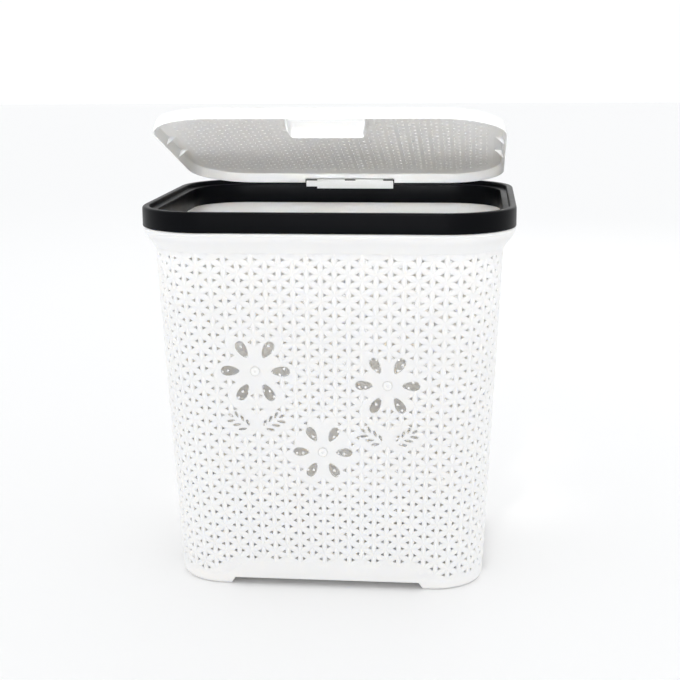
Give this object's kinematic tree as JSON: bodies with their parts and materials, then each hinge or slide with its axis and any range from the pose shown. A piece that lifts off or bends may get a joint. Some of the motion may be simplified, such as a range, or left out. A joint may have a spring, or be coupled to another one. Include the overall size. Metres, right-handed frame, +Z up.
{
  "type": "laundry hamper with lid",
  "caption": "Tapered rounded plastic laundry hamper with a woven-look perforated wall, flower cut-outs, a black ring round its mouth and a rear-hinged lid with a finger slot.",
  "frame": {"origin": "on the floor, under the middle of the ring round the mouth", "axes": "+Z up, -Y towards the front with the flowers, +X to the right seen from the front, hinge along X at the rear"},
  "size_m": [0.45, 0.376, 0.5824],
  "materials": {
    "body_plastic": "white moulded polypropylene with a woven relief, satin",
    "rim_plastic": "black moulded polypropylene, satin gloss",
    "lid_plastic": "white moulded polypropylene, satin, woven relief inside the skirt",
    "hinge_plastic": "white moulded polypropylene, satin",
    "pin_steel": "drawn steel wire"
  },
  "bodies": {
    "basket": {"basket_body": "body_plastic", "rim_collar": "rim_plastic", "hinge_bracket": "hinge_plastic", "hinge_pin": "pin_steel"},
    "lid": {"lid_panel": "lid_plastic"}
  },
  "joints": [
    {"name": "lid_hinge", "type": "hinge", "parent": "basket", "child": "lid", "pos_m": [0, 0.179, 0.4697], "axis": [-1, 0, 0], "range_deg": [-18, 87]}
  ]
}
